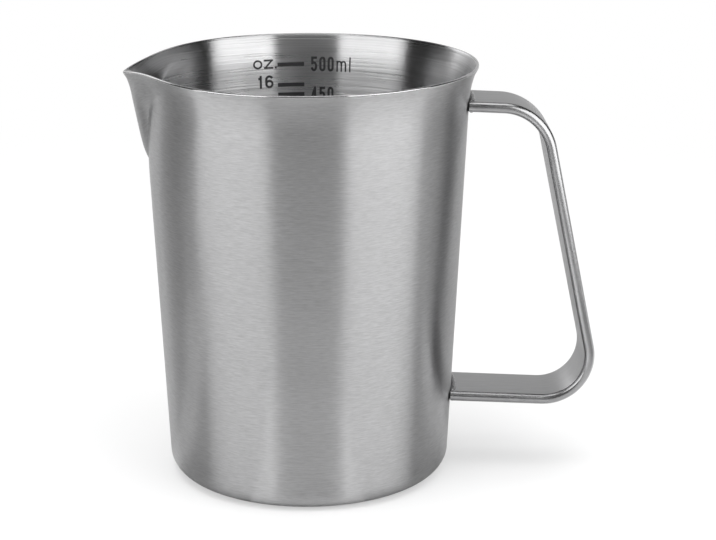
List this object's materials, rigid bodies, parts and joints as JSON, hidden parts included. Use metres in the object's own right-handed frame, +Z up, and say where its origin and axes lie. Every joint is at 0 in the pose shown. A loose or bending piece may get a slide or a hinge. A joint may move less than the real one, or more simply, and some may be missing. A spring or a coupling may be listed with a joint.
{
  "type": "measuring jug",
  "caption": "Tapered stainless steel measuring jug with a flared rim, a pressed pouring spout and a flat bent strap handle welded to the wall.",
  "frame": {"origin": "on the body's axis, in the plane that the jug stands on", "axes": "+Z up along the body's axis, +X towards the handle, -X towards the spout"},
  "size_m": [0.1249, 0.09, 0.111],
  "materials": {
    "body_steel": "fine brushed, grain round the body",
    "strap_steel": "satin faces with polished round edges",
    "weld_steel": "ground and polished weld",
    "scale_etch": "dark etched marks and numbers"
  },
  "bodies": {
    "root": {"body": "body_steel", "handle_strap": "strap_steel", "upper_weld": "weld_steel", "lower_weld": "weld_steel"}
  },
  "joints": []
}
